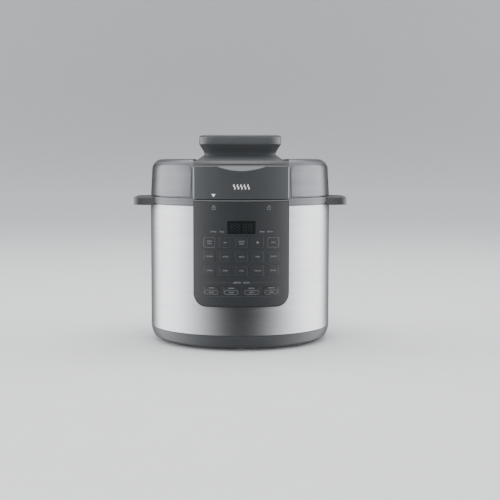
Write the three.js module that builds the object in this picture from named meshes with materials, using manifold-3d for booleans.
// Electric pressure cooker, about six litres: a steel-wrapped base with a curved key panel,
// a lift-out pot, and a bayonet lid that turns to lock and then lifts off.
// Units are millimetres, +Z is up, the key panel faces -Y, and the origin is on the axis of the
// pot in the plane that the feet stand on.
import * as THREE from "three";
import { LoftGeometry } from "three/addons/geometries/LoftGeometry.js";
import { mergeVertices } from "three/addons/utils/BufferGeometryUtils.js";
import Module from "manifold-3d";

const wasm = await Module();
wasm.setup();

// ---------------------------------------------------------------- driving dimensions

const clearance = 0.3; // gap between pieces that seat on or in each other
const turnClearance = 0.6; // gap between pieces that turn or slide past each other
const outerSegments = 40; // round pieces that show
const innerSegments = 28; // round pieces inside
const smallSegments = 12; // pins, valves and feet

// Pot
const potRadius = 110; // inside
const potDepth = 163; // inside, floor to rim
const potWall = 1.5;
const potCornerRadius = 14;
const potRimWidth = 5.5; // flange that hangs outward from the pot's mouth
const potRimThickness = 1.2;

// Heater under the pot, and the well around it
const heaterRadius = 86;
const heaterThickness = 13;
const heaterLegHeight = 4;
const sensorRadius = 13;
const sensorTravel = 3;
const wellGap = 3; // between pot and well
const wellWall = 1.2;

// Bayonet between the well and the lid's pressure plate
const lugCount = 6;
const lugAngle = 24; // degrees, each lug
const lugLength = 5.5;
const lugThickness = 2.2;
const lugBite = 3; // how far the two sets of lugs pass over each other
const lugGap = 0.8; // up and down, between the two sets
const flangeReach = 5.3; // from the well's wall to the root of its lugs
const skirtWall = 1.5;
const skirtGap = 2.5; // from the well's lug tips to the skirt

// Body
const collarGap = 2; // from the skirt to the collar's outer wall
const collarWall = 5.5;
const collarHeight = 10;
const collarInnerWall = 2.5;
const collarFloor = 2;
const collarSkirt = 10; // part of the collar that reaches down inside the wrap
const rimStand = 2.8; // how far the pot's rim stands above the collar
const shellWall = 0.8;
const baseHeight = 20;
const baseWall = 3;
const baseDraft = 7; // how much narrower the base is at the bottom
const electronicsHeight = 34.8; // free height between the base's floor and the well
const footHeight = 3;
const footRadius = 9;
const footCircle = 100;

// Side grips
const gripReach = 24.8; // outward from the collar
const gripRootHalf = 45;
const gripTipHalf = 37;
const gripThickness = 13;
const gripCornerRadius = 12;
const gripWall = 3;

// Key panel
const panelStand = 7; // how far the panel's face stands out from the steel
const panelWall = 2.5;
const panelCornerRadius = 20;
const panelDrop = 1.9; // from the collar's top down to the panel's top
const panelMargin = 14.2; // from the outermost keys to the panel's edge
const panelFoot = 24; // from the preset keys' middle to the panel's bottom edge
const keyWidth = 18.4;
const keyHeight = 15.6;
const keyCorner = 2.4;
const keyPitch = 23.3; // along the arc
const keyRowPitch = 20.1;
const keyThickness = 3.4;
const keyGap = 0.35;
const keyTravel = 0.6;
const keyStem = 4;
const presetWidth = 23;
const presetHeight = 12;
const presetPitch = 29.1;
const presetDrop = 29.2; // from the third row of keys to the preset keys
const displayWidth = 39.7;
const displayHeight = 18;
const displayTop = 30; // from the panel's top edge to the display
const displayToKeys = 12.6; // from the display's bottom edge to the first row
const displayDepth = 7;
const lensThickness = 2;
const boardThickness = 1.6;
const boardStand = 10; // from the well out to the control board
const boardMargin = 2;
const switchSide = 6;
const switchHeight = 3.6;

// Lid
const lidHeight = 55.8; // from the lid's lower edge to the top of the side domes
const lidShoulder = 16; // radius of the rounding at the top of the side
const lidDraft = 2.3;
const lidWall = 3.2;
const bandHalfWidth = 69;
const bandTopDrop = 2.2; // the band's top lies this far below the side domes
const bandThickness = 2.5;
const bandTrayWall = 1.8; // wall of the tray in the cover that the band lies in
const bandLedgeDrop = 8.2; // from the band's top down to the ledge round its ends
const bandStepInset = 9; // from the band's face in to the step that rises from the ledge
const facetDrop = 6.2; // flat that is cut across the front edge: how far down the face
const facetReach = 4.8; // and how far back along the ledge
const plateInset = 3.2; // from the band's side to a steel side plate
const plateThickness = 0.8;
const plateTopDrop = 8; // from the top of the side domes down to the plates
const plateFoot = 1.6; // from the lid's lower edge up to the plates
const plateCorner = 11;
const pressurePlateRise = 12; // from the seam up to the pressure plate
const pressurePlateWall = 1.6;

// Handle on the lid
const handleHalfWidth = 62.6;
const handleHalfDepth = 42;
const handleWaistHalfWidth = 55;
const handleWaistHalfDepth = 29;
const handleFootHalfWidth = 67;
const handleFootHalfDepth = 44;
const handleRise = 36.6; // from the domes' top to the handle's top
const handleRimHeight = 13.5;
const handleCapThickness = 2.4;
const handleCorner = 22;

// Valves, behind the handle
const valveSide = 24; // left of the middle
const floatSide = 24; // right of the middle
const valveBack = 80; // behind the middle
const ventRadius = 4;
const ventBore = 1.6;
const valveRadius = 12;
const valveHeight = 17;
const knobReach = 20; // from the valve's axis to the end of the knob's tab
const floatRadius = 3;
const floatTravel = 3;

// Back of the body
const rearHalfWidth = 42;
const rearCorner = 8;
const cupWidth = 52;
const cupHeight = 44;
const cupDepth = 19;
const cupWall = 1.6;
const pocketWall = 2;
const spoutRadius = 4.5;
const spoutBore = 3;
const scoopRadius = 13;
const inletRise = 24; // from the wrap's lower edge up to the middle of the inlet
const inletWidth = 33;
const inletHeight = 25;
const inletWall = 2.5;
const inletSocketDepth = 16;
const pinLength = 11;
const pinWidth = 5;
const pinThickness = 2.2;
const pinPitch = 7;

// ---------------------------------------------------------------- places worked out from them

const zBase = footHeight;
const zBaseFloor = zBase + baseWall;
const zWell = zBaseFloor + electronicsHeight; // underside of the well
const zHeater = zWell + wellWall + heaterLegHeight;
const zPot = zHeater + heaterThickness + clearance; // underside of the pot
const zRim = zPot + potWall + potDepth; // top of the pot's rim
const zSeam = zRim - rimStand; // top of the collar
const zShell = zBase + baseHeight + clearance;
const zCollar = zSeam - collarHeight;
const zLid = zSeam + turnClearance; // lower edge of the lid
const zDome = zLid + lidHeight;
const zBandTop = zDome - bandTopDrop;
const zPressurePlate = zSeam + pressurePlateRise;

const potOuter = potRadius + potWall;
const wellInner = potOuter + wellGap;
const wellOuter = wellInner + wellWall;
const flangeRadius = wellOuter + flangeReach;
const lugTip = flangeRadius + lugLength;
const skirtInner = lugTip + skirtGap;
const skirtOuter = skirtInner + skirtWall;
const collarInner = skirtOuter + collarGap;
const bodyRadius = collarInner + collarWall;
const panelRadius = bodyRadius + panelStand;
const lidRadius = bodyRadius - 0.2;
const lidTopRadius = lidRadius - lidDraft;

const zWellRim = zRim - potRimThickness - clearance; // top of the well's flange and lugs
const zLidLug = zWellRim - lugThickness - lugGap; // top of the lid's lugs
const panelHalfWidth = 2 * keyPitch + keyWidth / 2 + panelMargin;
const zPanelTop = zSeam - panelDrop;
const zDisplay = zPanelTop - displayTop - displayHeight / 2;
const zFirstRow = zDisplay - displayHeight / 2 - displayToKeys;
const zPresets = zFirstRow - 2 * keyRowPitch - presetDrop;
const zPanelBottom = zPresets - panelFoot;
const zBoardTop = zCollar - collarSkirt - 2;
const yBoard = -(wellOuter + boardStand); // back face of the control board
const yBoardFront = yBoard - boardThickness;
const boardHalf = Math.min(
  2 * keyPitch + keyWidth / 2 + boardMargin,
  Math.sqrt((panelRadius - panelWall - 1) ** 2 - yBoardFront ** 2), // its corners touch nothing
);

// ---------------------------------------------------------------- materials

const material = (color, roughness, metalness = 0) =>
  new THREE.MeshStandardMaterial({ color, roughness, metalness });
const brushedSteel = material(0xc4c4c6, 0.35, 1);
const darkPlastic = material(0x55575a, 0.45);
const greyPlastic = material(0x8d9093, 0.4);
const panelFilm = material(0x4a4b4d, 0.35);
const smokedLens = material(0x1b1e1f, 0.1);
const pressedSteel = material(0xb8babd, 0.3, 1);
const nonStick = material(0x3a3b3d, 0.5, 0.2);
const castAluminium = material(0x9fa1a3, 0.55, 1);
const silicone = material(0xd9d8d0, 0.6);
const rubber = material(0x2b2b2c, 0.8);
const boardGreen = material(0x2f6b45, 0.5);
const blackPlastic = material(0x26272a, 0.5);
const clearPlastic = material(0xd5dadd, 0.15);
const brass = material(0xc9a968, 0.3, 1);

// ---------------------------------------------------------------- making solids

// A closed three.js geometry as a solid whose faces point outward.
function solid(geometry) {
  const flat = geometry.index ? geometry.toNonIndexed() : geometry;
  const bare = new THREE.BufferGeometry();
  bare.setAttribute("position", flat.getAttribute("position"));
  const merged = mergeVertices(bare, 1e-4);
  const vertProperties = merged.attributes.position.array;
  const triVerts = new Uint32Array(merged.index.array);
  const made = new wasm.Manifold(new wasm.Mesh({ numProp: 3, vertProperties, triVerts }));
  if (made.volume() > 0) return made;
  for (let i = 0; i < triVerts.length; i += 3) {
    [triVerts[i + 1], triVerts[i + 2]] = [triVerts[i + 2], triVerts[i + 1]];
  }
  return new wasm.Manifold(new wasm.Mesh({ numProp: 3, vertProperties, triVerts }));
}

// A named mesh of a solid.
function piece(name, body, finish) {
  const { numProp, vertProperties, triVerts } = body.getMesh();
  const geometry = new THREE.BufferGeometry();
  const points = new THREE.InterleavedBuffer(vertProperties, numProp);
  geometry.setAttribute("position", new THREE.InterleavedBufferAttribute(points, 3, 0));
  geometry.setIndex(new THREE.BufferAttribute(triVerts, 1));
  const flat = geometry.toNonIndexed();
  flat.computeVertexNormals();
  const mesh = new THREE.Mesh(flat, finish);
  mesh.name = name;
  return mesh;
}

// A solid of revolution about Z. The profile is a list of [radius, height] and closes on itself
// unless it starts and ends on the axis.
function turned(profile, segments = outerSegments) {
  const points = profile.map(([r, z]) => new THREE.Vector2(r, z));
  const onAxis = profile[0][0] === 0 && profile.at(-1)[0] === 0;
  if (!onAxis) points.push(points[0].clone());
  return solid(new THREE.LatheGeometry(points, segments).rotateX(Math.PI / 2));
}

const ring = (inner, outer, z0, z1, segments) =>
  turned([[inner, z0], [outer, z0], [outer, z1], [inner, z1]], segments);

const disc = (radius, z0, z1, segments) =>
  turned([[0, z0], [radius, z0], [radius, z1], [0, z1]], segments);

// A disc or rod about a vertical axis through [x, y].
function rod(radius, z0, z1, x, y, segments = smallSegments) {
  const geometry = new THREE.CylinderGeometry(radius, radius, z1 - z0, segments);
  return solid(geometry.rotateX(Math.PI / 2).translate(x, y, (z0 + z1) / 2));
}

function block(x0, x1, y0, y1, z0, z1) {
  const geometry = new THREE.BoxGeometry(x1 - x0, y1 - y0, z1 - z0);
  return solid(geometry.translate((x0 + x1) / 2, (y0 + y1) / 2, (z0 + z1) / 2));
}

// A shape in X and Y, raised from z0 to z1.
function raised(shape, z0, z1, curveSegments = 5) {
  const options = { depth: z1 - z0, bevelEnabled: false, curveSegments };
  return solid(new THREE.ExtrudeGeometry(shape, options).translate(0, 0, z0));
}

// A shape whose X is the world's Y and whose Y is the world's Z, run from x0 across to x1.
function acrossX(shape, x0, x1) {
  const options = { depth: x1 - x0, bevelEnabled: false, curveSegments: 3 };
  const geometry = new THREE.ExtrudeGeometry(shape, options);
  const axes = [[0, 1, 0], [0, 0, 1], [1, 0, 0]].map((a) => new THREE.Vector3(...a));
  return solid(geometry.applyMatrix4(new THREE.Matrix4().makeBasis(...axes)).translate(x0, 0, 0));
}

// A shape in X and Z, run from y0 back to y1.
function drivenBack(shape, y0, y1, curveSegments = 5) {
  const options = { depth: y1 - y0, bevelEnabled: false, curveSegments };
  const geometry = new THREE.ExtrudeGeometry(shape, options);
  return solid(geometry.rotateX(Math.PI / 2).translate(0, y1, 0));
}

// A shape whose X runs along the panel and whose Y is up, run outward from radius r0 to r1,
// at an angle in radians from the front, positive towards +X.
function radial(shape, angle, z, r0, r1, curveSegments = 1) {
  const options = { depth: r1 - r0, bevelEnabled: false, curveSegments };
  const geometry = new THREE.ExtrudeGeometry(shape, options).translate(0, 0, r0);
  const along = new THREE.Vector3(Math.cos(angle), Math.sin(angle), 0);
  const outward = new THREE.Vector3(Math.sin(angle), -Math.cos(angle), 0);
  const place = new THREE.Matrix4().makeBasis(along, new THREE.Vector3(0, 0, 1), outward);
  return solid(geometry.applyMatrix4(place.setPosition(0, 0, z)));
}

function rectangle(width, height) {
  const [w, h] = [width / 2, height / 2];
  const corners = [[-w, -h], [w, -h], [w, h], [-w, h]];
  return new THREE.Shape(corners.map(([x, y]) => new THREE.Vector2(x, y)));
}

function roundedRectangle(width, height, corner) {
  const [w, h] = [width / 2, height / 2];
  const r = Math.min(corner, w * 0.98, h * 0.98);
  const shape = new THREE.Shape();
  shape.moveTo(-w + r, -h);
  shape.lineTo(w - r, -h);
  shape.absarc(w - r, -h + r, r, -Math.PI / 2, 0);
  shape.absarc(w - r, h - r, r, 0, Math.PI / 2);
  shape.absarc(-w + r, h - r, r, Math.PI / 2, Math.PI);
  shape.absarc(-w + r, -h + r, r, Math.PI, 1.5 * Math.PI);
  return shape;
}

// A solid through rounded rectangles, each {x, y, r, z}: half width, half depth, corner, height.
function lofted(levels, corners = 4) {
  const sections = levels.map(({ x, y, r, z }) =>
    roundedRectangle(2 * x, 2 * y, r)
      .getPoints(corners)
      .slice(0, -1)
      .map((p) => new THREE.Vector3(p.x, p.y, z)),
  );
  return solid(new LoftGeometry(sections, { capStart: true, capEnd: true }));
}

// A wedge about Z between two angles in degrees from the front, used to cut lugs and plates.
function sector(from, to, radius, z0, z1) {
  const shape = new THREE.Shape();
  const steps = Math.max(2, Math.ceil((to - from) / 30));
  shape.moveTo(0, 0);
  for (let i = 0; i <= steps; i += 1) {
    const a = THREE.MathUtils.degToRad(from + ((to - from) * i) / steps);
    shape.lineTo(radius * Math.sin(a), -radius * Math.cos(a));
  }
  return raised(shape, z0, z1);
}

const together = (solids) => solids.reduce((all, one) => all.add(one));
const without = (body, solids) => solids.reduce((left, one) => left.subtract(one), body);

// Lugs of the bayonet: parts of a ring, evenly round the axis.
function lugs(inner, outer, z0, z1) {
  const whole = ring(inner, outer, z0, z1, innerSegments);
  const count = [...Array(lugCount).keys()];
  return together(
    count.map((i) => {
      const middle = (360 / lugCount) * i;
      return whole.intersect(
        sector(middle - lugAngle / 2, middle + lugAngle / 2, 2 * outer, z0 - 1, z1 + 1),
      );
    }),
  );
}

// Points of an arc in [radius, height], from one angle to another in degrees, 0 pointing outward.
// An arc that isn't as high as it is wide has a second radius.
function arc(r, z, radius, from, to, steps = 4, rise = radius) {
  return [...Array(steps + 1).keys()].map((i) => {
    const a = THREE.MathUtils.degToRad(from + ((to - from) * i) / steps);
    return [r + radius * Math.cos(a), z + rise * Math.sin(a)];
  });
}

// ---------------------------------------------------------------- base unit

const footPlaces = [
  ["front_left", -1, -1],
  ["front_right", 1, -1],
  ["back_left", -1, 1],
  ["back_right", 1, 1],
].map(([name, x, y]) => [name, (x * footCircle) / Math.SQRT2, (y * footCircle) / Math.SQRT2]);
const footStem = footRadius / 2;

// Moulded dish under the steel wrap, with cooling slots and posts that carry the well.
function baseCover() {
  const top = zBase + baseHeight;
  const low = bodyRadius - baseDraft;
  const dish = turned([
    [0, zBase],
    [low - 5, zBase],
    [low, zBase + 3],
    [bodyRadius - 1.5, zBase + 0.55 * baseHeight],
    [bodyRadius, top],
    [bodyRadius - baseWall, top],
    [low - baseWall, zBaseFloor + 2],
    [low - baseWall - 4, zBaseFloor],
    [0, zBaseFloor],
  ]);
  const posts = [45, 135, 225, 315].map((degrees) => {
    const a = THREE.MathUtils.degToRad(degrees);
    const r = wellInner * 0.62;
    return rod(6, zBaseFloor - 1, zWell - clearance, r * Math.cos(a), r * Math.sin(a), 12);
  });
  const slots = [-2, -1, 0, 1, 2].map((i) =>
    block(i * 10 - 2.5, i * 10 + 2.5, -22, 22, zBase - 1, zBaseFloor + 1));
  const holes = footPlaces.map(([, x, y]) =>
    rod(footStem + clearance, zBase - 1, zBaseFloor + 1, x, y, 12),
  );
  return piece("base_cover", without(together([dish, ...posts]), [...slots, ...holes]), darkPlastic);
}

// A soft foot with a stem that snaps through the base.
function foot([name, x, y]) {
  const pad = rod(footRadius, 0, zBase - clearance, x, y);
  const stem = rod(footStem, zBase - 1, zBaseFloor + 1, x, y, 12);
  return piece(`foot_${name}`, pad.add(stem), rubber);
}

// Brushed steel wrap, open behind the key panel and behind the pocket and inlet at the back.
function outerShell() {
  const wrap = ring(bodyRadius - shellWall, bodyRadius, zShell, zCollar - clearance);
  const front = boardHalf + 3;
  const pocket = pocketHalf + pocketWall + 1;
  const windows = [
    block(-front, front, -2 * bodyRadius, 0, zPanelBottom + panelCornerRadius, zSeam),
    block(-pocket, pocket, 0, 2 * bodyRadius, zPocket - pocketWall - 1, zSeam),
    block(-inletWidth / 2 - 1, inletWidth / 2 + 1, 0, 2 * bodyRadius,
      zInlet - inletHeight / 2 - 1, zInlet + inletHeight / 2 + 1),
  ];
  return piece("outer_shell", without(wrap, windows), brushedSteel);
}

// Moulded collar: an outer wall that shows, a channel for the lid's lugs, a seat for the well, and
// a spout at the back that drains the channel.
function collar() {
  const inner = wellOuter + (flangeRadius - wellOuter - collarInnerWall) / 2;
  const skirt = bodyRadius - shellWall - clearance;
  const section = [
    [bodyRadius, zCollar],
    [bodyRadius, zSeam - 4.5],
    [bodyRadius - 0.5, zSeam - 4],
    [bodyRadius - 0.5, zSeam - 0.6],
    [bodyRadius - 1.1, zSeam],
    [collarInner, zSeam],
    [collarInner, zCollar + collarFloor],
    [inner + collarInnerWall, zCollar + collarFloor],
    [inner + collarInnerWall, zWellRim - lugThickness - clearance],
    [inner, zWellRim - lugThickness - clearance],
    [inner, zCollar],
    [skirt - 2.4, zCollar],
    [skirt - 2.4, zCollar - collarSkirt],
    [skirt, zCollar - collarSkirt],
    [skirt, zCollar],
  ];
  const notches = [69, 111, 249, 291].map((degrees) =>
    radial(rectangle(2.4, 2.6), THREE.MathUtils.degToRad(degrees), zCollar + 1.6,
      bodyRadius - 1.5, bodyRadius + 2));
  const spout = rod(spoutRadius, zCollar - collarSkirt - 1, zCollar + 1, 0, ySpout, 10);
  const drain = rod(spoutBore, zCollar - collarSkirt - 2, zCollar + collarFloor + 1, 0, ySpout, 10);
  return piece("collar", without(turned(section).add(spout), [...notches, drain]), greyPlastic);
}

// A side grip: a hollow tab with rounded corners that hugs the collar.
function grip(name, side) {
  const outline = (inset) => {
    const tip = bodyRadius + gripReach - inset;
    const r = gripCornerRadius - inset;
    const root = bodyRadius * 0.85;
    const shape = new THREE.Shape();
    shape.moveTo(root, -gripRootHalf + inset);
    shape.lineTo(bodyRadius, -gripRootHalf + inset);
    shape.lineTo(tip - r, -gripTipHalf + inset);
    shape.absarc(tip - r, -gripTipHalf + inset + r, r, -Math.PI / 2, 0);
    shape.absarc(tip - r, gripTipHalf - inset - r, r, 0, Math.PI / 2);
    shape.lineTo(bodyRadius, gripRootHalf - inset);
    shape.lineTo(root, gripRootHalf - inset);
    return shape;
  };
  const top = zSeam;
  const low = top - gripThickness;
  const whole = raised(outline(0), low, top, 4);
  const hollow = raised(outline(gripWall), low - 1, top - gripWall, 4).intersect(
    ring(bodyRadius + gripWall, 2 * bodyRadius, low - 2, top, outerSegments),
  );
  const bore = disc(bodyRadius + clearance, low - 2, top + 1, outerSegments);
  const made = without(whole, [hollow, bore]);
  const turn = side < 0 ? Math.PI : 0;
  const mesh = piece(name, made, darkPlastic);
  mesh.geometry.rotateZ(turn);
  return mesh;
}

// ---------------------------------------------------------------- key panel

const mainKeys = [0, 1, 2].flatMap((row) =>
  [-2, -1, 0, 1, 2].map((column) => ({
    name: `key_row${row + 1}_${column + 3}`,
    angle: (column * keyPitch) / panelRadius,
    z: zFirstRow - row * keyRowPitch,
    width: keyWidth,
    height: keyHeight,
  })),
);
const presetKeys = [-1.5, -0.5, 0.5, 1.5].map((column, i) => ({
  name: `key_preset_${i + 1}`,
  angle: (column * presetPitch) / panelRadius,
  z: zPresets,
  width: presetWidth,
  height: presetHeight,
}));
const keys = [...mainKeys, ...presetKeys];

// How far the board's front is from the axis, along a key's own direction.
const boardReach = (angle) => -yBoardFront / Math.cos(angle);

// The panel's outline in X and Z, drawn inside its edge by inset.
function panelOutline(inset) {
  const w = panelHalfWidth - inset;
  const [low, high] = [zPanelBottom + inset, zPanelTop - inset];
  const r = panelCornerRadius - inset;
  const shape = new THREE.Shape();
  shape.moveTo(-w, high);
  shape.lineTo(-w, low + r);
  shape.absarc(-w + r, low + r, r, Math.PI, 1.5 * Math.PI);
  shape.absarc(w - r, low + r, r, 1.5 * Math.PI, 2 * Math.PI);
  shape.lineTo(w, high);
  return shape;
}

// Curved front housing with a window for each key and for the display.
function panelHousing() {
  const rear = bodyRadius + clearance;
  const blank = ring(rear, panelRadius, zPanelBottom - 5, zPanelTop + 5).intersect(
    drivenBack(panelOutline(0), -2 * panelRadius, 0),
  );
  const hollow = ring(rear - 5, panelRadius - panelWall, zPanelBottom - 5, zPanelTop + 5).intersect(
    drivenBack(panelOutline(panelWall), -2 * panelRadius, 0),
  );
  const windows = keys.map(({ angle, z, width, height }) => {
    const hole = roundedRectangle(width + 2 * keyGap, height + 2 * keyGap, keyCorner + keyGap);
    return radial(hole, angle, z, rear, 2 * panelRadius);
  });
  const view = roundedRectangle(displayWidth + 2 * keyGap, displayHeight + 2 * keyGap, 1);
  windows.push(radial(view, 0, zDisplay, rear, 2 * panelRadius));
  return piece("panel_housing", without(blank, [hollow, ...windows]), panelFilm);
}

// A key: a cap that lies flush in the housing and a plunger that reaches its switch.
function key({ name, angle, z, width, height }) {
  const cap = radial(
    roundedRectangle(width, height, keyCorner), angle, z,
    panelRadius - keyThickness, 2 * panelRadius,
  ).intersect(disc(panelRadius, z - height, z + height));
  const reach = boardReach(angle) + switchHeight + 2 * clearance + keyTravel;
  const plunger = radial(rectangle(keyStem, keyStem), angle, z, reach, panelRadius - keyThickness + 1);
  return piece(name, cap.add(plunger), panelFilm);
}

// Dark lens over the display.
function displayLens() {
  const lens = radial(
    roundedRectangle(displayWidth, displayHeight, 0.8), 0, zDisplay,
    panelRadius - panelWall - lensThickness / 2, 2 * panelRadius,
  ).intersect(disc(panelRadius - 0.2, zDisplay - displayHeight, zDisplay + displayHeight));
  return piece("display_lens", lens, smokedLens);
}

// Digit module, standing on the board behind the lens.
function displayModule() {
  const body = block(
    -displayWidth / 2 + 2, displayWidth / 2 - 2,
    yBoardFront - displayDepth, yBoardFront - clearance,
    zDisplay - displayHeight / 2 + 1, zDisplay + displayHeight / 2 - 1,
  );
  return piece("display_module", body, blackPlastic);
}

// Flat board behind the panel with one switch for each key.
function controlBoard() {
  const low = zPanelBottom + panelCornerRadius + 2;
  const sheet = block(-boardHalf, boardHalf, yBoardFront, yBoard, low, zBoardTop);
  const switches = keys.map(({ angle, z }) =>
    radial(rectangle(switchSide, switchSide), angle, z,
      boardReach(angle) - boardThickness / 2, boardReach(angle) + switchHeight));
  return piece("control_board", together([sheet, ...switches]), boardGreen);
}

// ---------------------------------------------------------------- heating and pots

// Steel well that holds the pot, with the bayonet lugs round its mouth.
function well() {
  const floor = zWell + wellWall;
  const corner = potCornerRadius + wellGap;
  const section = [
    [sensorRadius + 4, zWell],
    ...arc(wellOuter - corner, zWell + corner, corner, -90, 0, 3),
    [wellOuter, zWellRim - lugThickness],
    [flangeRadius, zWellRim - lugThickness],
    [flangeRadius, zWellRim],
    [wellInner, zWellRim],
    ...arc(wellInner - corner + wellWall, floor + corner - wellWall, corner - wellWall, 0, -90, 3),
    [sensorRadius + 4, floor],
  ];
  const teeth = lugs(flangeRadius - 1, lugTip, zWellRim - lugThickness, zWellRim);
  return piece("well", turned(section, innerSegments).add(teeth), pressedSteel);
}

// Heating plate: a cast disc on three legs, open in the middle for the sensor.
function heatingPlate() {
  const inner = sensorRadius + 1;
  const top = zHeater + heaterThickness;
  const plate = turned([
    [inner, zHeater + 2],
    [heaterRadius - 18, zHeater + 2],
    [heaterRadius - 14, zHeater],
    [heaterRadius - 4, zHeater],
    [heaterRadius, zHeater + 4],
    [heaterRadius, top - 1],
    [heaterRadius - 1, top],
    [inner, top],
  ], innerSegments);
  const legs = [30, 150, 270].map((degrees) => {
    const a = THREE.MathUtils.degToRad(degrees);
    const r = heaterRadius * 0.55;
    return rod(5, zWell + wellWall + clearance, zHeater + 3, r * Math.cos(a), r * Math.sin(a), 10);
  });
  return piece("heating_plate", together([plate, ...legs]), castAluminium);
}

const zSensorTop = zPot - clearance;
const zSensorSeat = zWell - 8; // where the sensor's spring stands
const sensorCapHeight = 8;

// Sprung button that the pot rests on and that feels its temperature.
function temperatureSensor() {
  const low = zSensorTop - sensorCapHeight;
  return piece("temperature_sensor", turned([
    [0, low - 9],
    [3, low - 9],
    [3, low],
    [sensorRadius, low],
    [sensorRadius, zSensorTop - 1],
    [sensorRadius - 1, zSensorTop],
    [0, zSensorTop],
  ], smallSegments), castAluminium);
}

// Coil spring under the sensor, as the tube that the coil fills.
function sensorSpring() {
  return piece("sensor_spring",
    ring(5, 7.5, zSensorSeat + clearance, zSensorTop - sensorCapHeight - clearance, 16), pressedSteel);
}

// Bracket under the well that carries the sensor's spring, held on two bosses of the well's floor.
function sensorBracket() {
  const plate = ring(4.5, 26, zSensorSeat - 2, zSensorSeat, smallSegments);
  const posts = [-1, 1].map((side) =>
    rod(3, zSensorSeat - 1, zWell - clearance, side * 22, 0, 8));
  return piece("sensor_bracket", together([plate, ...posts]), pressedSteel);
}

// Board with the relay, the transformer and the terminals, standing on the base.
function powerBoard() {
  const z = zBaseFloor + 5;
  const sheet = block(-42, 42, 34, 84, z, z + boardThickness);
  const parts = [
    block(-36, -14, 42, 66, z, z + 18),
    block(-8, 10, 40, 58, z, z + 14),
    block(18, 36, 60, 78, z, z + 12),
  ];
  const studs = [-38, 38].flatMap((x) =>
    [37, 81].map((y) => rod(2, zBaseFloor + clearance, z + 1, x, y, 8)));
  return piece("power_board", together([sheet, ...parts, ...studs]), boardGreen);
}

// The pot that lifts out.
function innerPot() {
  const corner = potCornerRadius;
  const inside = corner - potWall;
  const floor = zPot + potWall;
  return piece("inner_pot", turned([
    [0, zPot],
    ...arc(potOuter - corner, zPot + corner, corner, -90, 0, 3),
    [potOuter, zRim - potRimThickness],
    [potRadius + potRimWidth + potWall, zRim - potRimThickness],
    [potRadius + potRimWidth + potWall, zRim],
    [potRadius, zRim],
    ...arc(potRadius - inside, floor + inside, inside, 0, -90, 3),
    [0, floor],
  ], innerSegments), nonStick);
}

// ---------------------------------------------------------------- back of the body

const zInlet = zShell + inletRise;
const zPocketTop = zCollar - collarSkirt - clearance - pocketWall; // roof of the cup's pocket
const zPocket = zPocketTop - cupHeight - 2 * turnClearance; // its floor
const pocketHalf = cupWidth / 2 + turnClearance;
const yPocket = panelRadius - cupDepth - turnClearance;
const ySpout = yPocket + spoutRadius + 2;

// Moulded housing up the back, with the pocket that holds the condensate cup.
function rearHousing() {
  const rear = bodyRadius + clearance;
  const [low, high] = [zShell + 2, zCollar - clearance];
  const outline = (inset) => {
    const shape = roundedRectangle(
      2 * (rearHalfWidth - inset), high - low - 2 * inset, rearCorner - inset,
    );
    return new THREE.Shape(shape.getPoints(4).map((p) => p.add({ x: 0, y: (low + high) / 2 })));
  };
  const blank = ring(rear, panelRadius, low - 5, high + 5).intersect(
    drivenBack(outline(0), 0, 2 * panelRadius));
  const hollow = ring(rear - 5, panelRadius - panelWall, low - 5, high + 5).intersect(
    drivenBack(outline(panelWall), 0, 2 * panelRadius));
  const box = block(-pocketHalf - pocketWall, pocketHalf + pocketWall, yPocket - pocketWall,
    2 * panelRadius, zPocket - pocketWall, zPocketTop + pocketWall,
  ).intersect(disc(panelRadius, low, high));
  const cavity = block(-pocketHalf, pocketHalf, yPocket, 2 * panelRadius, zPocket, zPocketTop);
  const drip = rod(spoutRadius + 1, zPocketTop - 1, zPocketTop + pocketWall + 1, 0, ySpout, 12);
  const scoop = new THREE.Shape().absarc(0, 0, scoopRadius, 0, 2 * Math.PI);
  const scoops = [-1, 1].map((side) =>
    radial(scoop, Math.PI + (side * pocketHalf) / panelRadius, (zPocket + zPocketTop) / 2,
      bodyRadius + 1, 2 * panelRadius, 8));
  const socket = radial(roundedRectangle(inletWidth + 2 * clearance, inletHeight + 2 * clearance, 5),
    Math.PI, zInlet, 0, 2 * panelRadius);
  const cuts = [cavity, drip, ...scoops, socket];
  return piece("rear_housing", without(blank.subtract(hollow).add(box), cuts), darkPlastic);
}

// Socket for the mains lead.
function powerInlet() {
  const back = panelRadius - 0.5;
  const box = radial(roundedRectangle(inletWidth, inletHeight, 4.5), Math.PI, zInlet,
    back - inletSocketDepth - inletWall, back);
  const cavity = radial(
    roundedRectangle(inletWidth - 2 * inletWall, inletHeight - 2 * inletWall, 3),
    Math.PI, zInlet, back - inletSocketDepth, back + 5);
  const slots = pinPlaces.map(([, x, z]) =>
    block(x - pinThickness / 2 - clearance, x + pinThickness / 2 + clearance,
      back - inletSocketDepth - 5, back - inletSocketDepth + 1,
      z - pinWidth / 2 - clearance, z + pinWidth / 2 + clearance));
  return piece("power_inlet", without(box, [cavity, ...slots]), blackPlastic);
}

const pinPlaces = [
  ["line", -pinPitch, zInlet - 2],
  ["earth", 0, zInlet + 2],
  ["neutral", pinPitch, zInlet - 2],
];

// A flat pin of the inlet.
function inletPin([name, x, z]) {
  const root = panelRadius - 0.5 - inletSocketDepth;
  return piece(`inlet_pin_${name}`, block(x - pinThickness / 2, x + pinThickness / 2,
    root - inletWall - 5, root + pinLength, z - pinWidth / 2, z + pinWidth / 2), brass);
}

// Clear cup that catches condensate, flush with the housing it slides into.
function condensateCup() {
  const w = cupWidth / 2;
  const low = zPocket + turnClearance;
  const high = low + cupHeight;
  const front = panelRadius - cupDepth;
  const body = block(-w, w, front, 2 * panelRadius, low, high).intersect(
    disc(panelRadius - clearance, low, high));
  const room = block(-w + cupWall, w - cupWall, front + cupWall, 2 * panelRadius,
    low + cupWall, high + 1).intersect(disc(panelRadius - clearance - cupWall, low, high + 1));
  return piece("condensate_cup", body.subtract(room), clearPlastic);
}

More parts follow.
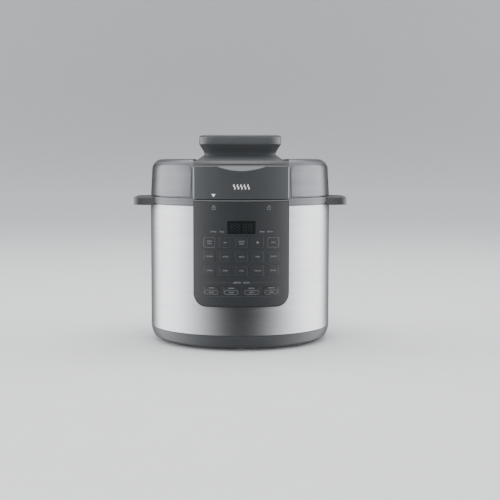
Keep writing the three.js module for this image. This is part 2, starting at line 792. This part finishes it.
// ---------------------------------------------------------------- lid

// The solid inside the lid's outline, moved inward at the side and down at the top.
function lidBody(side = 0, top = side, low = zLid) {
  const r = lidTopRadius - lidShoulder;
  const z = zDome - lidShoulder;
  return turned([
    [0, low],
    [lidRadius - side, low],
    [lidTopRadius + 0.9 - side, zLid + 0.4 * (z - zLid)],
    ...arc(r, z, lidShoulder - side, 0, 90, 4, lidShoulder - top),
    [0, zDome - top],
  ]);
}

// The same outline reaching below the lid's edge, for cutting.
const lidRoom = (side, top) => lidBody(side, top, zLid - 1);

const slab = (half) => block(-half, half, -2 * bodyRadius, 2 * bodyRadius, zLid - 20, zDome + 10);
const bandSeat = bandTopDrop + bandThickness + clearance; // how far below the domes the band lies
const bandSideSeat = 1.5;
const bossPlaces = [45, 135, 225, 315].map((degrees) => {
  const a = THREE.MathUtils.degToRad(degrees);
  return [(skirtInner - 16) * Math.cos(a), (skirtInner - 16) * Math.sin(a)];
});

// Holes for the valve and the float through the band and the cover.
const lidBores = () => [
  rod(ventRadius + 3, zLid, zDome + 5, -valveSide, valveBack),
  rod(floatRadius + 1.2, zLid, zDome + 5, floatSide, valveBack),
];

// The field of a side plate, grown by grow all round: its top corners are rounded by sectors that
// narrow towards the top.
function plateField(side, grow) {
  const z0 = zLid + plateFoot - grow;
  const z1 = zDome - plateTopDrop + grow;
  const corner = plateCorner + grow;
  const reach = Math.acos((bandHalfWidth + plateInset) / lidTopRadius) * lidTopRadius + grow;
  const wedge = (cut, low, high) => {
    const half = THREE.MathUtils.radToDeg((reach - cut) / lidTopRadius);
    return sector(90 * side - half, 90 * side + half, 2 * bodyRadius, low, high);
  };
  const rows = 3;
  const rounds = [...Array(rows).keys()].map((i) => {
    const [t0, t1] = [i, i + 1].map((row) => Math.sin(((row / rows) * Math.PI) / 2));
    const cut = corner * (1 - Math.sqrt(1 - ((t0 + t1) / 2) ** 2));
    return wedge(cut, z1 - corner * (1 - t0) - 0.01, z1 - corner * (1 - t1));
  });
  return together([wedge(0, z0, z1 - corner), ...rounds]);
}

// A steel plate let into the lid's side.
function lidPlate(name, side) {
  const skin = lidBody().subtract(lidRoom(plateThickness));
  return piece(name, skin.intersect(plateField(side, 0)), brushedSteel);
}

// Grey moulded cover of the lid, with a tray for the band and pockets for the side plates.
function lidCover() {
  const wall = lidBody().subtract(lidRoom(lidWall));
  const tray = lidBody()
    .subtract(lidRoom(lidWall, bandSeat + bandTrayWall))
    .intersect(slab(bandHalfWidth + clearance + bandTrayWall));
  const channel = slab(bandHalfWidth + clearance).subtract(lidRoom(bandSideSeat, bandSeat));
  const plateSeat = lidRoom(plateThickness + clearance);
  const pockets = [-1, 1].map((side) => plateField(side, clearance).subtract(plateSeat));
  const bosses = bossPlaces.map(([x, y]) =>
    rod(5, zPressurePlate + pressurePlateWall + clearance, zDome - lidWall + 1, x, y, 10));
  const body = together([wall, tray, ...bosses]);
  return piece("lid_cover", without(body, [channel, ...pockets, ...lidBores()]), greyPlastic);
}

// Dark moulded band over the lid, rising to the foot of the handle.
function lidBand() {
  const low = zPanelTop + 1;
  const ledge = zBandTop - bandLedgeDrop;
  const step = panelRadius - bandStepInset;
  const body = turned([
    [0, low],
    [panelRadius, low],
    [panelRadius, ledge - 0.8],
    [panelRadius - 0.8, ledge],
    [step + 1.5, ledge],
    [step, zBandTop - 2],
    [step - 2, zBandTop],
    [0, zBandTop],
  ]).intersect(slab(bandHalfWidth));
  const pedestal = lofted([
    { x: handleFootHalfWidth, y: handleFootHalfDepth, r: handleCorner, z: zBandTop - 1 },
    { x: handleFootHalfWidth, y: handleFootHalfDepth, r: handleCorner, z: zBandTop + 0.8 },
    { x: handleWaistHalfWidth + 7.5, y: handleWaistHalfDepth + 8, r: handleCorner, z: zBandTop + 4 },
    { x: handleWaistHalfWidth + 3, y: handleWaistHalfDepth + 3, r: handleCorner, z: zBandTop + 7 },
    { x: handleWaistHalfWidth, y: handleWaistHalfDepth, r: handleCorner, z: zNeck - clearance },
  ]);
  const slope = facetDrop / facetReach;
  const [outside, inside] = [-panelRadius - 2, -panelRadius + facetReach + 2];
  const facet = new THREE.Shape();
  facet.moveTo(outside, ledge - facetDrop - 2 * slope);
  facet.lineTo(inside, ledge + 2 * slope);
  facet.lineTo(outside, ledge + 2 * slope);
  const cuts = [
    lidRoom(bandSideSeat - clearance, bandSeat - clearance),
    disc(bodyRadius + turnClearance, low - 5, zLid),
    acrossX(facet, -panelRadius, panelRadius),
    ...lidBores(),
  ];
  return piece("lid_band", without(body.add(pedestal), cuts), darkPlastic);
}

const zNeck = zBandTop + 10;
const zHandleTop = zDome + handleRise;
const zHandleRim = zHandleTop - handleRimHeight;

// The handle: a neck that flares into an overhanging rim.
function lidHandle() {
  const level = (x, y, z) => ({ x, y, r: handleCorner, z });
  const [spanX, spanY] = [
    handleHalfWidth - handleWaistHalfWidth,
    handleHalfDepth - handleWaistHalfDepth,
  ];
  const part = (share, z) =>
    level(handleWaistHalfWidth + share * spanX, handleWaistHalfDepth + share * spanY, z);
  return piece("lid_handle", lofted([
    part(0, zNeck),
    part(0.06, zHandleRim - 13),
    part(0.28, zHandleRim - 9.5),
    part(0.6, zHandleRim - 5.5),
    part(0.9, zHandleRim - 2),
    part(1, zHandleRim),
    part(1, zHandleTop - handleCapThickness - clearance),
  ]), darkPlastic);
}

// Cap that closes the handle's top.
function handleCap() {
  const low = zHandleTop - handleCapThickness;
  return piece("handle_cap", lofted([
    { x: handleHalfWidth, y: handleHalfDepth, r: handleCorner, z: low },
    { x: handleHalfWidth - 0.5, y: handleHalfDepth - 0.5, r: handleCorner, z: zHandleTop - 1 },
    { x: handleHalfWidth - 2, y: handleHalfDepth - 2, r: handleCorner, z: zHandleTop },
  ]), darkPlastic);
}

// Pressed steel plate that closes the pot, with a skirt that carries the lid's lugs.
function pressurePlate() {
  const top = zPressurePlate + pressurePlateWall;
  const low = zLidLug - lugThickness;
  const section = [
    [0, zPressurePlate + 2],
    [potRadius - 22, zPressurePlate + 2],
    [potRadius - 18, zPressurePlate],
    [skirtInner - 3, zPressurePlate],
    [skirtInner, zPressurePlate - 3],
    [skirtInner, low],
    [skirtOuter, low],
    [skirtOuter, top - 3],
    [skirtOuter - 3, top],
    [potRadius - 18 + 0.6, top],
    [potRadius - 22 + 0.6, top + 2],
    [0, top + 2],
  ];
  const teeth = lugs(lugTip - lugBite, skirtInner + 0.5, low, zLidLug);
  const bores = [
    rod(ventRadius + clearance, zPressurePlate - 5, top + 5, -valveSide, valveBack),
    rod(floatRadius + 0.8, zPressurePlate - 5, top + 5, floatSide, valveBack),
  ];
  const body = turned(section, innerSegments).add(teeth);
  return piece("pressure_plate", without(body, bores), pressedSteel);
}

const sealInner = potRadius - 4;
const sealOuter = potRadius + potRimWidth + potWall + 1.5;

// Silicone ring that seals the lid on the pot's rim.
function sealingRing() {
  const low = zRim + clearance;
  const high = zPressurePlate - clearance;
  return piece("sealing_ring", turned([
    [sealOuter - 5, low + 3],
    [sealInner + 4, low + 3],
    [sealInner, low],
    [sealInner + 7, low],
    [sealOuter - 3.5, low + 0.6],
    [sealOuter, low + 3.5],
    [sealOuter, high],
    [sealOuter - 5, high],
  ], innerSegments), silicone);
}

// Plate that holds the sealing ring up in the lid.
function ringHolder() {
  const outer = sealOuter - 5 - turnClearance;
  const z = zRim + 3 + 2 * clearance;
  return piece("ring_holder", turned([
    [outer - 12, z + 1],
    [outer, z],
    [outer, z + 1.2],
    [outer - 11, z + 4],
    [outer - 12, z + 4],
  ], innerSegments), pressedSteel);
}

// Steam pipe through the lid, with the head that the valve rests on.
function ventPipe() {
  const zHead = zBandTop + 6;
  const low = zPressurePlate - 6;
  const pipe = turned([
    [ventBore, low],
    [ventRadius, low],
    [ventRadius, zPressurePlate + 1],
    [ventRadius, zHead - 3],
    [ventBore + 1, zHead],
    [ventBore, zHead],
  ], smallSegments);
  const mesh = piece("vent_pipe", pipe, pressedSteel);
  mesh.position.set(-valveSide, valveBack, 0);
  return mesh;
}

// Weight that closes the steam pipe until the pressure lifts it.
function valveWeight() {
  const seat = zBandTop + 6 + clearance;
  const low = zBandTop + 1.5;
  const top = seat + 10;
  const weight = turned([
    [0, seat],
    [ventBore + 1.4, seat],
    [ventRadius + turnClearance, seat - 3],
    [ventRadius + turnClearance, low],
    [valveRadius - 2, low],
    [valveRadius - 2, top],
    [0, top],
  ], smallSegments);
  const mesh = piece("valve_weight", weight, pressedSteel);
  mesh.position.set(-valveSide, valveBack, 0);
  return mesh;
}

// Knob over the weight: a round cap with a finger tab that shows which way it is turned.
function valveKnob() {
  const low = zBandTop + 1.5;
  const inside = zBandTop + 6 + clearance + 10 + clearance;
  const top = zBandTop + valveHeight + 4;
  const cap = turned([
    [valveRadius - 2 + turnClearance, low],
    [valveRadius + 1, low],
    [valveRadius, top - 2],
    [valveRadius - 2, top],
    [0, top],
    [0, inside],
    [valveRadius - 2 + turnClearance, inside],
  ], smallSegments);
  const tab = block(-3, 3, 0, knobReach, top - 7, top - 1).subtract(
    rod(valveRadius - 2 + turnClearance, top - 10, top + 1, 0, 0));
  const mesh = piece("valve_knob", cap.add(tab), blackPlastic);
  mesh.position.set(-valveSide, valveBack, 0);
  return mesh;
}

// Float that rises when the cooker is under pressure.
function floatPin() {
  const top = zBandTop - 1;
  const neck = zPressurePlate - floatTravel;
  const mesh = piece("float_pin", turned([
    [0, neck - 3.5],
    [floatRadius - 1, neck - 3.5],
    [floatRadius - 1, neck],
    [floatRadius, neck],
    [floatRadius, top],
    [0, top],
  ], smallSegments), pressedSteel);
  mesh.position.set(floatSide, valveBack, 0);
  return mesh;
}

// Soft cap on the float's lower end.
function floatSeal() {
  const top = zPressurePlate - floatTravel - clearance;
  const mesh = piece("float_seal", turned([
    [floatRadius - 1 + clearance, top - 3.4],
    [floatRadius + 2.4, top - 3],
    [floatRadius + 2.8, top - 1],
    [floatRadius + 2, top],
    [floatRadius - 1 + clearance, top],
  ], smallSegments), silicone);
  mesh.position.set(floatSide, valveBack, 0);
  return mesh;
}

// Perforated cap that keeps food out of the steam pipe.
function ventShield() {
  const top = zPressurePlate - clearance;
  const cap = turned([
    [0, top - 10],
    [8, top - 10],
    [9.5, top - 8],
    [9.5, top],
    [8.5, top],
    [8.5, top - 7.8],
    [7.6, top - 9],
    [0, top - 9],
  ], smallSegments);
  const slots = [0, 45, 90, 135].map((degrees) => {
    const slot = new THREE.BoxGeometry(30, 1.6, 4).rotateZ(THREE.MathUtils.degToRad(degrees));
    return solid(slot.translate(0, 0, top - 4));
  });
  const mesh = piece("vent_shield", without(cap, slots), pressedSteel);
  mesh.position.set(-valveSide, valveBack, 0);
  return mesh;
}

// ---------------------------------------------------------------- assembly

const cooker = new THREE.Group();
cooker.add(
  baseCover(),
  ...footPlaces.map(foot),
  outerShell(),
  collar(),
  grip("grip_left", -1),
  grip("grip_right", 1),
  panelHousing(),
  displayLens(),
  displayModule(),
  controlBoard(),
  ...keys.map(key),
  well(),
  heatingPlate(),
  temperatureSensor(),
  sensorSpring(),
  sensorBracket(),
  powerBoard(),
  powerInlet(),
  ...pinPlaces.map(inletPin),
  rearHousing(),
  condensateCup(),
  innerPot(),
  sealingRing(),
  ringHolder(),
  lidCover(),
  lidBand(),
  lidPlate("lid_plate_left", -1),
  lidPlate("lid_plate_right", 1),
  lidHandle(),
  handleCap(),
  pressurePlate(),
  ventPipe(),
  ventShield(),
  valveWeight(),
  valveKnob(),
  floatPin(),
  floatSeal(),
);

export default cooker;
